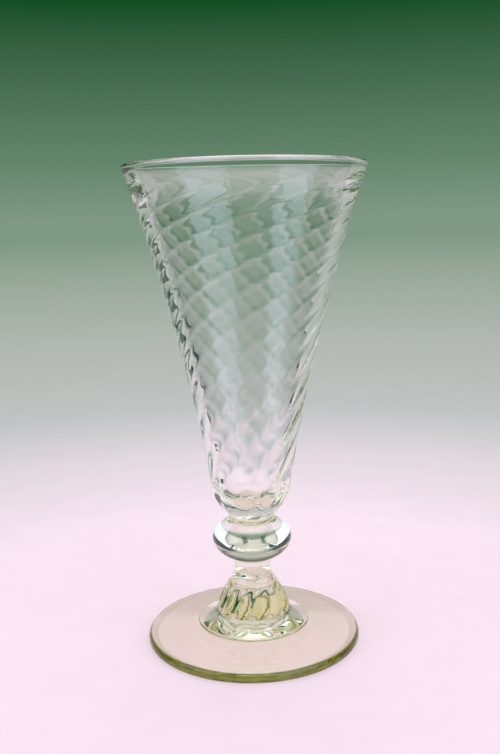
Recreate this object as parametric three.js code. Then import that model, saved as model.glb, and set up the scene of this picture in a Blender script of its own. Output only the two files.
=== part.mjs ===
// Wrythen ale glass of about 1800: a tall conical bowl with twelve twisted ribs,
// a collar, a round knop, a short plain stem, a ribbed pedestal and a round foot.
// Each gather of glass is its own solid, and neighbours meet on the flat face
// where the hot glass was joined. Millimetres, +Z up, and the origin is at the
// centre of the foot on the table.
import * as THREE from 'three';

// Foot: a plain disc, a little conical on top and hollow underneath.
const footRadius = 31.75;
const footEdgeHeight = 2.95;
const footEdgeRound = 1.15;
const footThickness = 2.6;
const footHollowHeight = 2.4;
const wornRingWidth = 2.0;

// Pontil scar: what the pontil rod left in the hollow of the foot.
const scarRadius = 6.8;
const scarRidge = 0.35;
const scarSeatMargin = 0.55;

// Pedestal: a ribbed cone that flares into a thin round boss on the foot.
const bossRadius = 16.6;
const bossEdgeHeight = 0.85;
const bossEdgeRound = 0.4;
const pedestalHeight = 16.0;
const pedestalDrumRadius = 10.9;
const pedestalDrumHeight = 3.9;
const pedestalRibDepth = 0.6;

// Stem: the short plain length between the pedestal and the knop.
const stemLength = 4.0;
const stemFootRadius = 5.25;
const stemTopRadius = 5.45;
const weldFlare = 0.5;
const weldHeight = 0.8;

// Knop: a flattened ball, fuller below its widest line than above it.
const knopLowerHeight = 6.3;
const knopUpperHeight = 5.1;
const knopShelfWidth = 0.5;
const knopBulge = 4.35;

// Collar: the thin disc between the knop and the bowl.
const collarRadius = 6.9;
const collarHeight = 1.8;
const collarRound = 0.2;

// Bowl: a flared cone with a thick rounded base and a fire-polished lip. The
// wall is thicker in its upper half, and thins again just below the lip. Both
// thicknesses are those of the valleys between the ribs.
const bowlHeight = 101.8;
const rimRadius = 34.4;
const rimThickness = 2.2;
const shoulderRadius = 11.5;
const shoulderHeight = 7.2;
const lowerWallThickness = 2.6;
const upperWallThickness = 3.2;
const lipTaperHeight = 10.0;
const ribDepth = 0.4;
const ribFadeHeight = 12.0;
const bowlBaseThickness = 4.4;
const wellHeight = 8.0;

// Counts of the moulded ribs, of the turns they make, and of the facets and
// rows that stand for the curves.
const ribCount = 12;
const bowlTwistTurns = 1.134;
const pedestalTwistTurns = 0.1;
const facetsPerRib = 6;
const plainFacets = 48;
const scarFacets = 28;
const scarWaves = [3, 5, 8];
const bowlSideRows = 34;
const bowlWallRows = 14;
const pedestalRows = 9;
const curveRows = 5;
const edgeRows = 4;

// Shares of the sizes above that shape the outlines.
const footWidestShare = 0.45;
const footSlopeShares = { across: 0.5, up: 0.42 };
const hollowCurveShares = { across: 0.5, up: 0.6 };
const scarDropShare = 0.55;
const scarStepShares = [0.3, 0.52, 0.78, 0.93, 1];
const scarStepDropShares = [1, 0.8, 0.85, 0.5, 0];
const scarFaceShare = 0.08;
const flareBendShares = { across: 0.09, up: 0.34 };
const pedestalShoulderShares = { across: 0.053, up: 0.388 };
const pedestalNeckShares = { across: 0.832, up: 0.769 };
const pedestalRibStartShare = 0.2;
const pedestalRibFullShares = { low: 0.33, high: 0.62 };
const pedestalRibEndShare = 0.76;
const bowlFlareShare = 0.37;
const bellyBendShares = { across: 0.86, up: 0.57 };
const bellyRibShare = 0.35;
const ribFadeEndShare = 0.15;
const wallSwellShares = { low: 0.25, high: 0.75 };
const wallCrowdingPower = 1.6;
const twistSteadyShare = 0.774;
const twistRisePower = 5;
const rowCrowdingShare = 0.4;
const samePointShare = 1e-9;

// Sizes that neighbours share, and the height of each joint in the stack.
const ribFacets = ribCount * facetsPerRib;
const scarReach = scarRadius + scarWaves.length * scarRidge;
const knopSeatRadius = stemTopRadius + weldFlare;
const knopShelfRadius = collarRadius + knopShelfWidth;
const knopRadius = knopShelfRadius + knopBulge;
const bowlSeatRadius = collarRadius - collarRound;
const lipHeight = bowlHeight - rimThickness / 2;
const wellTop = bowlBaseThickness + wellHeight;
const footCrownHeight = footHollowHeight + footThickness;
const pedestalBase = footCrownHeight;
const stemBase = pedestalBase + pedestalHeight;
const knopBase = stemBase + stemLength;
const collarBase = knopBase + knopLowerHeight + knopUpperHeight;
const bowlBase = collarBase + collarHeight;

// A point of an outline: its distance from the axis and its height.
function at(radius, height) {
  return new THREE.Vector2(radius, height);
}

// The point that lies a share of the way across and another share of the way
// up from one point of an outline to another.
function between(from, to, shares) {
  return at(
    THREE.MathUtils.lerp(from.x, to.x, shares.across),
    THREE.MathUtils.lerp(from.y, to.y, shares.up),
  );
}

// A bent stretch of an outline, from one point towards a second to a third.
function bend(from, towards, to, rows) {
  return new THREE.QuadraticBezierCurve(from, towards, to).getPoints(rows);
}

// Part of an ellipse about a centre, from one share of a full turn to another.
function arc(centre, across, up, startTurn, endTurn, rows) {
  const start = startTurn * Math.PI * 2;
  const end = endTurn * Math.PI * 2;
  const clockwise = endTurn < startTurn;
  const ellipse = new THREE.EllipseCurve(centre.x, centre.y, across, up, start, end, clockwise);
  return ellipse.getPoints(rows);
}

// The share of a full turn at which an ellipse's half width falls to a radius.
function turnToRadius(radius, halfWidth) {
  return Math.acos(radius / halfWidth) / (Math.PI * 2);
}

// Joins stretches into one outline, without the points that two of them share.
function outline(...stretches) {
  return stretches.flat().filter((point, index, all) => {
    return index === 0 || point.distanceTo(all[index - 1]) > point.length() * samePointShare;
  });
}

// Turns an outline about the Z axis. It runs up the outside from the axis.
function turned(points, facets) {
  return new THREE.LatheGeometry(points, facets).rotateX(Math.PI / 2);
}

// How far a rib's surface lies below its crest: 0 there and 1 in the valley.
function valleyShare(turnShare) {
  return 1 - Math.abs(Math.cos(Math.PI * ribCount * turnShare));
}

// Twists a turned solid and presses its ribs in. Each row of its outline is
// turned by turnsAt(row) and pressed in by at most depthAt(row).
function wrythe(geometry, rowCount, turnsAt, depthAt) {
  const place = geometry.attributes.position;
  for (let index = 0; index < place.count; index += 1) {
    const row = index % rowCount;
    const column = Math.floor(index / rowCount);
    const turnShare = (column % ribFacets) / ribFacets;
    const radius = Math.hypot(place.getX(index), place.getY(index));
    const pressed = radius - Math.min(depthAt(row), radius) * valleyShare(turnShare);
    const angle = (turnShare + turnsAt(row)) * Math.PI * 2;
    place.setXYZ(index, pressed * Math.cos(angle), pressed * Math.sin(angle), place.getZ(index));
  }
  geometry.computeVertexNormals();
  return geometry;
}

// Foot, with the flat worn ring that it stands on.
function footGeometry() {
  const ringOuter = footRadius - footEdgeRound;
  const widestHeight = footEdgeHeight * footWidestShare;
  const hollowTop = at(scarReach + scarSeatMargin, footHollowHeight);
  const ringInner = at(ringOuter - wornRingWidth, 0);
  const edgeCentre = at(ringOuter, widestHeight);
  const slopeFoot = at(ringOuter, footEdgeHeight);
  const slopeTop = at(bossRadius, footCrownHeight);
  const points = outline(
    [at(0, footHollowHeight)],
    bend(hollowTop, between(hollowTop, ringInner, hollowCurveShares), ringInner, curveRows),
    arc(edgeCentre, footEdgeRound, widestHeight, 0.75, 1, edgeRows),
    arc(edgeCentre, footEdgeRound, footEdgeHeight - widestHeight, 0, 0.25, edgeRows),
    bend(slopeFoot, between(slopeFoot, slopeTop, footSlopeShares), slopeTop, curveRows),
    [at(0, footCrownHeight)],
  );
  return turned(points, ribFacets);
}

// Pontil scar: a snapped blob whose outline and face wander in and out.
function scarGeometry() {
  const drop = footHollowHeight * scarDropShare;
  const steps = scarStepShares.map((share, index) => {
    return at(scarRadius * share, -drop * scarStepDropShares[index]);
  });
  const geometry = turned([at(0, -drop), ...steps, at(0, 0)], scarFacets);
  const place = geometry.attributes.position;
  for (let index = 0; index < place.count; index += 1) {
    const x = place.getX(index);
    const y = place.getY(index);
    const angle = Math.atan2(y, x);
    const wander = scarWaves.reduce((sum, waves, phase) => sum + Math.sin(waves * angle + phase), 0);
    const snapped = 1 + wander * scarRidge / scarRadius;
    const deepened = 1 - wander * scarFaceShare * Math.hypot(x, y) / scarRadius;
    place.setXYZ(index, x * snapped, y * snapped, place.getZ(index) * deepened);
  }
  geometry.computeVertexNormals();
  return geometry;
}

// Pedestal outline: the boss, the flare above it and the cone up to the stem.
function pedestalOutline() {
  const bossCentre = at(bossRadius - bossEdgeRound, bossEdgeHeight / 2);
  const bossTop = at(bossCentre.x, bossEdgeHeight);
  const drum = at(pedestalDrumRadius, pedestalDrumHeight);
  const neck = at(stemFootRadius, pedestalHeight);
  const shoulder = between(drum, neck, pedestalShoulderShares);
  const waist = between(drum, neck, pedestalNeckShares);
  return outline(
    [at(0, 0)],
    arc(bossCentre, bossEdgeRound, bossCentre.y, -0.25, 0.25, edgeRows),
    bend(bossTop, between(drum, bossTop, flareBendShares), drum, edgeRows),
    new THREE.CubicBezierCurve(drum, shoulder, waist, neck).getPoints(pedestalRows),
    [at(0, pedestalHeight)],
  );
}

// How full the pedestal's ribs are at a height, from 0 to 1.
function pedestalRibShare(height) {
  const share = height / pedestalHeight;
  const { low, high } = pedestalRibFullShares;
  const rise = THREE.MathUtils.smoothstep(share, pedestalRibStartShare, low);
  const fall = THREE.MathUtils.smoothstep(share, high, pedestalRibEndShare);
  return rise * (1 - fall);
}

function pedestalGeometry() {
  const points = pedestalOutline();
  const turnsAt = (row) => pedestalTwistTurns * points[row].y / pedestalHeight;
  const depthAt = (row) => pedestalRibDepth * pedestalRibShare(points[row].y);
  return wrythe(turned(points, ribFacets), points.length, turnsAt, depthAt);
}

// Stem: it tapers a little downwards, and flares where it is welded to the knop.
function stemGeometry() {
  const weldFoot = at(stemTopRadius, stemLength - weldHeight);
  const weldBend = at(stemTopRadius, stemLength);
  const weldTop = at(knopSeatRadius, stemLength);
  const points = outline(
    [at(0, 0), at(stemFootRadius, 0)],
    bend(weldFoot, weldBend, weldTop, edgeRows),
    [at(0, stemLength)],
  );
  return turned(points, plainFacets);
}

// Knop: two parts of ellipses that meet at its widest line. The lower one ends
// at the stem's weld and the upper one at the shelf under the collar.
function knopGeometry() {
  const lowerTurn = turnToRadius(knopSeatRadius, knopRadius);
  const upperTurn = turnToRadius(knopShelfRadius, knopRadius);
  const lowerReach = knopLowerHeight / Math.sin(lowerTurn * Math.PI * 2);
  const upperReach = knopUpperHeight / Math.sin(upperTurn * Math.PI * 2);
  const centre = at(0, knopLowerHeight);
  const points = outline(
    [at(0, 0)],
    arc(centre, knopRadius, lowerReach, -lowerTurn, 0, curveRows),
    arc(centre, knopRadius, upperReach, 0, upperTurn, curveRows),
    [at(0, knopLowerHeight + knopUpperHeight)],
  );
  return turned(points, plainFacets);
}

// Collar: a thin disc with a rounded edge.
function collarGeometry() {
  const edgeCentre = at(bowlSeatRadius, collarHeight / 2);
  const edge = arc(edgeCentre, collarRound, edgeCentre.y, -0.25, 0.25, edgeRows);
  return turned(outline([at(0, 0)], edge, [at(0, collarHeight)]), plainFacets);
}

// Radius of the bowl's rib crests at a height from the shoulder to the lip.
function bowlSideRadius(height) {
  const share = (height - shoulderHeight) / (lipHeight - shoulderHeight);
  const flared = (1 - bowlFlareShare) * share + bowlFlareShare * share * share;
  return THREE.MathUtils.lerp(shoulderRadius, rimRadius, flared);
}

// Thickness of the bowl's wall at the rib crests at a height up to the lip.
function bowlWallThickness(height) {
  const { low, high } = wallSwellShares;
  const swell = THREE.MathUtils.smoothstep(height / lipHeight, low, high);
  const taper = THREE.MathUtils.smoothstep(height, lipHeight - lipTaperHeight, lipHeight);
  const wall = THREE.MathUtils.lerp(lowerWallThickness, upperWallThickness, swell) + ribDepth;
  return THREE.MathUtils.lerp(wall, rimThickness, taper);
}

// Radius of the bowl's smooth inside at a height from the well to the lip.
function bowlInnerRadius(height) {
  return bowlSideRadius(height) - bowlWallThickness(height);
}

// Turns made by the ribs from the bowl's seat up to a height.
function bowlTurns(height) {
  const share = height / bowlHeight;
  const rise = (1 - twistSteadyShare) * share ** twistRisePower;
  return bowlTwistTurns * (twistSteadyShare * share + rise);
}

// How full the bowl's ribs are at a height: they start faintly at its seat and
// die away below the lip.
function bowlRibShare(height) {
  const belly = THREE.MathUtils.smoothstep(height, 0, shoulderHeight);
  const rim = THREE.MathUtils.smoothstep(lipHeight - height, ribFadeHeight * ribFadeEndShare, ribFadeHeight);
  return THREE.MathUtils.lerp(bellyRibShare, 1, belly) * rim;
}

// Outside of the bowl from its seat to the lip. The rows lie closer together
// towards the lip, where the ribs turn faster.
function bowlOutside() {
  const seat = at(bowlSeatRadius, 0);
  const shoulder = at(shoulderRadius, shoulderHeight);
  const side = [];
  for (let row = 0; row <= bowlSideRows; row += 1) {
    const step = row / bowlSideRows;
    const share = step * (1 + rowCrowdingShare * (1 - step));
    const height = THREE.MathUtils.lerp(shoulderHeight, lipHeight, share);
    side.push(at(bowlSideRadius(height), height));
  }
  return outline(bend(seat, between(seat, shoulder, bellyBendShares), shoulder, curveRows), side);
}

// Inside of the bowl from the lip down to the bottom of its well. The rows lie
// closer together towards the lip, where the wall thins.
function bowlInside() {
  const wall = [];
  for (let row = 0; row <= bowlWallRows; row += 1) {
    const share = (row / bowlWallRows) ** wallCrowdingPower;
    const height = THREE.MathUtils.lerp(lipHeight, wellTop, share);
    wall.push(at(bowlInnerRadius(height), height));
  }
  return outline(wall, arc(at(0, wellTop), bowlInnerRadius(wellTop), wellHeight, 1, 0.75, curveRows));
}

// Bowl: ribbed and twisted outside, smooth inside, with a rounded lip.
function bowlGeometry() {
  const outside = bowlOutside();
  const lipHalf = rimThickness / 2;
  const lip = arc(at(rimRadius - lipHalf, lipHeight), lipHalf, lipHalf, 0, 0.5, edgeRows);
  const points = outline([at(0, 0)], outside, lip, bowlInside());
  const ribbedRows = outside.length;
  const turnsAt = (row) => bowlTurns(row > ribbedRows ? lipHeight : points[row].y);
  const depthAt = (row) => (row > ribbedRows ? 0 : ribDepth * bowlRibShare(points[row].y));
  return wrythe(turned(points, ribFacets), points.length, turnsAt, depthAt);
}

// Clear glass, with the tint that it shows at the piece's thickness.
function glass(color, opacity) {
  return new THREE.MeshStandardMaterial({ color, opacity, transparent: true, roughness: 0.04, metalness: 0 });
}

// Glass with a rough broken surface.
function snappedGlass(color) {
  return new THREE.MeshStandardMaterial({ color, roughness: 0.5, metalness: 0 });
}

// One named piece, whose own base stands at a height.
function piece(name, geometry, material, height) {
  const mesh = new THREE.Mesh(geometry, material);
  mesh.name = name;
  mesh.position.z = height;
  return mesh;
}

const aleGlass = new THREE.Group();
aleGlass.add(piece('foot', footGeometry(), glass('#e6dccb', 0.4), 0));
aleGlass.add(piece('pontil_scar', scarGeometry(), snappedGlass('#dfe3dc'), footHollowHeight));
aleGlass.add(piece('pedestal', pedestalGeometry(), glass('#cfd3bb', 0.45), pedestalBase));
aleGlass.add(piece('stem', stemGeometry(), glass('#e9d9cc', 0.4), stemBase));
aleGlass.add(piece('knop', knopGeometry(), glass('#dcdccb', 0.45), knopBase));
aleGlass.add(piece('collar', collarGeometry(), glass('#c6caa0', 0.5), collarBase));
aleGlass.add(piece('bowl', bowlGeometry(), glass('#dfe6dc', 0.25), bowlBase));

export default aleGlass;
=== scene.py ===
"""Looks of a small wrythen ale glass of about 1800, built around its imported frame.

Each gather of glass is a finely gridded surface turned about the Z axis. Sizes
are in millimetres here and become metres when a mesh is made.
"""

from __future__ import annotations

import logging
import math
from abc import ABC, abstractmethod
from dataclasses import dataclass
from enum import Enum, IntEnum
from typing import Any

import bpy
import numpy as np
from mathutils import Matrix, Vector
from numpy.typing import NDArray

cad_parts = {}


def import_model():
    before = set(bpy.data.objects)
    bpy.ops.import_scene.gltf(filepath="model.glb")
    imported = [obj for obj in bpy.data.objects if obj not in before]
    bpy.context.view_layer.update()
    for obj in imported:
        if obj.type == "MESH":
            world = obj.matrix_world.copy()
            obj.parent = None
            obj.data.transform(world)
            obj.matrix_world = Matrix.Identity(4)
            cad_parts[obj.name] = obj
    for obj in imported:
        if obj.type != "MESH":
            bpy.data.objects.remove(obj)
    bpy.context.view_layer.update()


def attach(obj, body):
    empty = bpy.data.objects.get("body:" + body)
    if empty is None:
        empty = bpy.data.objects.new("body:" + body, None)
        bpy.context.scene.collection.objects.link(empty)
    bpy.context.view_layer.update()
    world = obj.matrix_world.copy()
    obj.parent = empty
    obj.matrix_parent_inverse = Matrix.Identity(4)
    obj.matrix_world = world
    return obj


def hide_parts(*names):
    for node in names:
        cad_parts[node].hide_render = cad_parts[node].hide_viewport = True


Array = NDArray[np.float64]
Colour = tuple[float, float, float]
Socket = bpy.types.NodeSocket

LOG = logging.getLogger("ale_glass")
MILLIMETRE = 0.001
RIB_COUNT = 12
# Millimetres by which fused faces stand apart, so that no two lie in one plane.
JOINT_GAP = 0.02
# Millimetres from an outline's end to the ring that keeps its shading crisp.
HOLD = 0.05
# Metres from the table to the bowl's middle, which the lamps face.
BOWL_MIDDLE = 0.08
DAYLIGHT: Colour = (0.65, 0.74, 1.0)
WARM: Colour = (1.0, 0.93, 0.9)


class Slot(Enum):
    """The record's material slots."""

    BOWL = "bowl_glass"
    THICK = "thick_glass"
    FOOT = "foot_glass"
    SNAPPED = "snapped_glass"


class Band(IntEnum):
    """What a band of a surface is."""

    OPEN = 0
    FUSED = 1
    WORN = 2


# Curves and waves that the pieces share.


def smoothstep(value: Array, low: float, high: float) -> Array:
    """Rises smoothly from 0 at low to 1 at high.

    Formula: three times the square of the clipped share, less twice its cube.

    Args:
        value: What is measured.
        low: Where the rise starts.
        high: Where the rise ends.

    Returns:
        The risen share, shaped as value is.
    """
    share = np.clip((value - low) / (high - low), 0.0, 1.0)
    return share * share * (3.0 - 2.0 * share)


def between(start: Array, end: Array, across: float, up: float) -> Array:
    """Gives the point that lies a share across and a share up from start to end.

    Args:
        start: First point, distance from the axis and height.
        end: Second point.
        across: Share of the way in distance from the axis.
        up: Share of the way in height.

    Returns:
        The point between them.
    """
    return start + (end - start) * np.array([across, up])


def bend(controls: list[Array], rows: int) -> Array:
    """Samples a Bezier curve.

    Formula: each control point times its Bernstein polynomial, summed.

    Args:
        controls: Control points, each a distance from the axis and a height.
        rows: How many steps the curve has.

    Returns:
        Points of the curve, one row each.
    """
    share = np.linspace(0.0, 1.0, rows + 1)[:, None]
    degree = len(controls) - 1
    terms = [
        math.comb(degree, k) * share**k * (1.0 - share) ** (degree - k) * point
        for k, point in enumerate(controls)
    ]
    return np.sum(terms, axis=0)


def arc(centre: Array, across: float, up: float, start: float, end: float, rows: int) -> Array:
    """Samples part of an upright ellipse.

    Formula: the centre plus the half sizes times the cosine and sine of an
    angle that goes evenly from start to end.

    Args:
        centre: Centre of the ellipse.
        across: Its half width.
        up: Its half height.
        start: Start angle, in turns.
        end: End angle, in turns.
        rows: How many steps the arc has.

    Returns:
        Points of the arc, one row each.
    """
    angle = np.linspace(start, end, rows + 1) * math.tau
    return centre + np.stack([across * np.cos(angle), up * np.sin(angle)], axis=1)


def joined(*stretches: Array) -> Array:
    """Joins stretches of an outline and drops the points that two of them share.

    Formula: a point stays if its step from the one before isn't nought.

    Args:
        stretches: Stretches in order, each an array of points.

    Returns:
        One outline.
    """
    points = np.vstack(stretches)
    step = np.linalg.norm(np.diff(points, axis=0), axis=1)
    return points[np.concatenate([[True], step > 1e-6])]


def held(outline: Array) -> Array:
    """Adds a ring close to each end of an outline, so that its shading stays crisp there.

    Formula: each end point moved towards its neighbour by the hold.

    Args:
        outline: Points of the outline.

    Returns:
        The outline with two points more.
    """
    ends, neighbours = outline[[0, -1]], outline[[1, -2]]
    step = neighbours - ends
    rings = ends + HOLD * step / np.linalg.norm(step, axis=1)[:, None]
    return np.vstack([ends[:1], rings[:1], outline[1:-1], rings[1:], ends[1:]])


def valley(turn: Array, roundness: float) -> Array:
    """Gives how deep a point lies between two ribs: 0 on a crest, 1 in a valley.

    Formula: one less a softened size of the cosine of half the rib's phase,
    where the softening is the root of its square plus the roundness's square.

    Args:
        turn: Share of a full turn from a crest.
        roundness: How round the valley is, from 0 for a sharp one.

    Returns:
        The depth share.
    """
    wave = np.cos(math.pi * RIB_COUNT * turn)
    least = np.sqrt(wave * wave + roundness * roundness) - roundness
    return 1.0 - least / (math.sqrt(1.0 + roundness * roundness) - roundness)


@dataclass(frozen=True)
class Wander:
    """The slow unevenness of a surface that was shaped by hand.

    Attributes:
        size: Greatest unevenness, in millimetres or in turns.
        waves: For each wave, its count round the piece, its cycles per
            millimetre of height, and its phase in radians.
    """

    size: float
    waves: tuple[tuple[float, float, float], ...]

    def at(self, turn: Array, height: Array) -> Array:
        """Gives the unevenness at points of a surface.

        Formula: the mean of sines, each of its count times the azimuth plus
        its cycles times the height plus its phase, times the size.

        Args:
            turn: Share of a full turn.
            height: Height, in millimetres.

        Returns:
            The unevenness at each point.
        """
        sines = [
            np.sin(math.tau * (count * turn + cycles * height) + phase)
            for count, cycles, phase in self.waves
        ]
        return self.size * np.mean(sines, axis=0)


@dataclass
class Surface:
    """A closed surface on a grid, turned about the Z axis.

    Rows run from the lower pole up the outside to the upper pole, and columns
    run anticlockwise, so that every face points outwards.

    Attributes:
        radius: Distance of each grid point from the axis.
        turn: Its azimuth, as a share of a full turn.
        height: Its height.
        low: Height of the lower pole.
        high: Height of the upper pole.
        bands: What each band between two rows is, the two poles' fans included.
        hollow: How deep each grid point lies in a valley, for the finish.
    """

    radius: Array
    turn: Array
    height: Array
    low: float
    high: float
    bands: list[Band]
    hollow: Array

    def vertices(self) -> Array:
        """Gives the vertices: lower pole, grid row by row, upper pole.

        Formula: the radius times the cosine and sine of the azimuth, and the
        height.

        Returns:
            The vertices, in metres.
        """
        angle = self.turn * math.tau
        grid = np.stack(
            [self.radius * np.cos(angle), self.radius * np.sin(angle), self.height],
            axis=-1,
        ).reshape(-1, 3)
        low = np.array([[0.0, 0.0, self.low]])
        high = np.array([[0.0, 0.0, self.high]])
        return np.vstack([low, grid, high]) * MILLIMETRE

    def faces(self) -> tuple[list[list[int]], NDArray[np.int64]]:
        """Joins neighbouring rows and columns to quads, and each end row to its pole.

        Formula: a quad takes a vertex, the next one in its row, and the two
        above these; a pole's triangle takes the pole and two of the end row.

        Returns:
            The faces, and what band each face is.
        """
        rows, columns = self.radius.shape
        index = 1 + np.arange(rows * columns).reshape(rows, columns)
        after = np.roll(index, -1, axis=1)
        quads = np.stack([index[:-1], after[:-1], after[1:], index[1:]], axis=-1)
        low = np.stack([np.zeros(columns, int), after[0], index[0]], axis=-1)
        top = np.full(columns, rows * columns + 1)
        high = np.stack([index[-1], after[-1], top], axis=-1)
        faces = low.tolist() + quads.reshape(-1, 4).tolist() + high.tolist()
        return faces, np.repeat(np.array(self.bands), columns)

    def mesh(self, name: str) -> bpy.types.Mesh:
        """Makes the mesh.

        All its faces are smooth. With some of them flat, light that has left
        the glass would go on being absorbed.

        Args:
            name: Name of the mesh.

        Returns:
            The mesh, with attributes for each vertex's depth in a valley and
            for whether each face is a fused joint or worn.
        """
        vertices = self.vertices()
        faces, bands = self.faces()
        mesh = bpy.data.meshes.new(name)
        mesh.from_pydata(vertices, [], faces)
        mesh.polygons.foreach_set("use_smooth", np.ones(len(faces), bool))
        for band in (Band.FUSED, Band.WORN):
            share = (bands == band).astype(np.float32)
            mask = mesh.attributes.new(band.name.lower(), "FLOAT", "FACE")
            mask.data.foreach_set("value", share)
        depth = np.concatenate([[0.0], self.hollow.ravel(), [0.0]]).astype(np.float32)
        mesh.attributes.new("valley", "FLOAT", "POINT").data.foreach_set("value", depth)
        mesh.update()
        return mesh


# Finishes, and the node groups that they share.


class Bench:
    """Adds nodes to one node tree and wires them."""

    def __init__(self, tree: bpy.types.NodeTree) -> None:
        """Takes the tree that the nodes go into.

        Args:
            tree: A material's, world's or group's node tree.
        """
        self.tree = tree

    def node(
        self, kind: str, inputs: dict[Any, Any] | None = None, **settings: Any
    ) -> bpy.types.Node:
        """Adds one node.

        Args:
            kind: The node's type.
            inputs: For each input's name or number, a value or a socket to link.
            settings: The node's own settings.

        Returns:
            The node.
        """
        node = self.tree.nodes.new(kind)
        for name, value in settings.items():
            setattr(node, name, value)
        for name, value in (inputs or {}).items():
            if isinstance(value, Socket):
                self.tree.links.new(value, node.inputs[name])
            else:
                node.inputs[name].default_value = value
        return node

    def math(self, operation: str, first: Any, second: Any = 0.0, third: Any = 0.0) -> Socket:
        """Adds a Math node.

        Args:
            operation: What it does.
            first: First value or socket.
            second: Second value or socket.
            third: Third value or socket, for the operations that have one.

        Returns:
            Its output.
        """
        inputs = {0: first, 1: second, 2: third}
        return self.node("ShaderNodeMath", inputs, operation=operation).outputs[0]

    def ramp(self, value: Any, low: Any, high: Any, start: Any = 0.0, end: Any = 1.0) -> Socket:
        """Maps a value smoothly from one range to another.

        Formula: start plus the smoothstep of the value's share of the range
        times the way from start to end.

        Args:
            value: What is mapped.
            low: Where the range starts.
            high: Where the range ends.
            start: What low becomes.
            end: What high becomes.

        Returns:
            The mapped value.
        """
        inputs = {"Value": value, 1: low, 2: high, 3: start, 4: end}
        node = self.node("ShaderNodeMapRange", inputs, interpolation_type="SMOOTHSTEP")
        return node.outputs["Result"]

    def blend(self, share: Any, first: Any, second: Any) -> Socket:
        """Blends two colours.

        Args:
            share: Share of the second colour.
            first: First colour or socket.
            second: Second colour or socket.

        Returns:
            The blended colour.
        """
        inputs = {0: share, 6: first, 7: second}
        return self.node("ShaderNodeMix", inputs, data_type="RGBA").outputs[2]

    def place(self) -> Socket:
        """Gives the Object coordinates."""
        return self.node("ShaderNodeTexCoord").outputs["Object"]

    def attribute(self, name: str) -> Socket:
        """Gives one of the mesh's own attributes.

        Args:
            name: The attribute's name.

        Returns:
            Its value.
        """
        return self.node("ShaderNodeAttribute", attribute_name=name).outputs["Fac"]


class Group:
    """A shader node group with named inputs and outputs."""

    def __init__(self, name: str, inputs: dict[str, str], outputs: tuple[str, ...]) -> None:
        """Makes the group's sockets.

        Args:
            name: The group's name.
            inputs: For each input's name, its socket type.
            outputs: Names of the outputs, each a number.
        """
        self.tree = bpy.data.node_groups.new(name, "ShaderNodeTree")
        for socket, kind in inputs.items():
            self.tree.interface.new_socket(name=socket, in_out="INPUT", socket_type=kind)
        for socket in outputs:
            self.tree.interface.new_socket(
                name=socket, in_out="OUTPUT", socket_type="NodeSocketFloat"
            )
        self.bench = Bench(self.tree)
        self.given = self.bench.node("NodeGroupInput").outputs
        self.result = self.bench.node("NodeGroupOutput").inputs

    def put(self, name: str, socket: Socket) -> None:
        """Wires a socket to one of the group's outputs.

        Args:
            name: The output's name.
            socket: What it puts out.
        """
        self.tree.links.new(socket, self.result[name])


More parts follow.
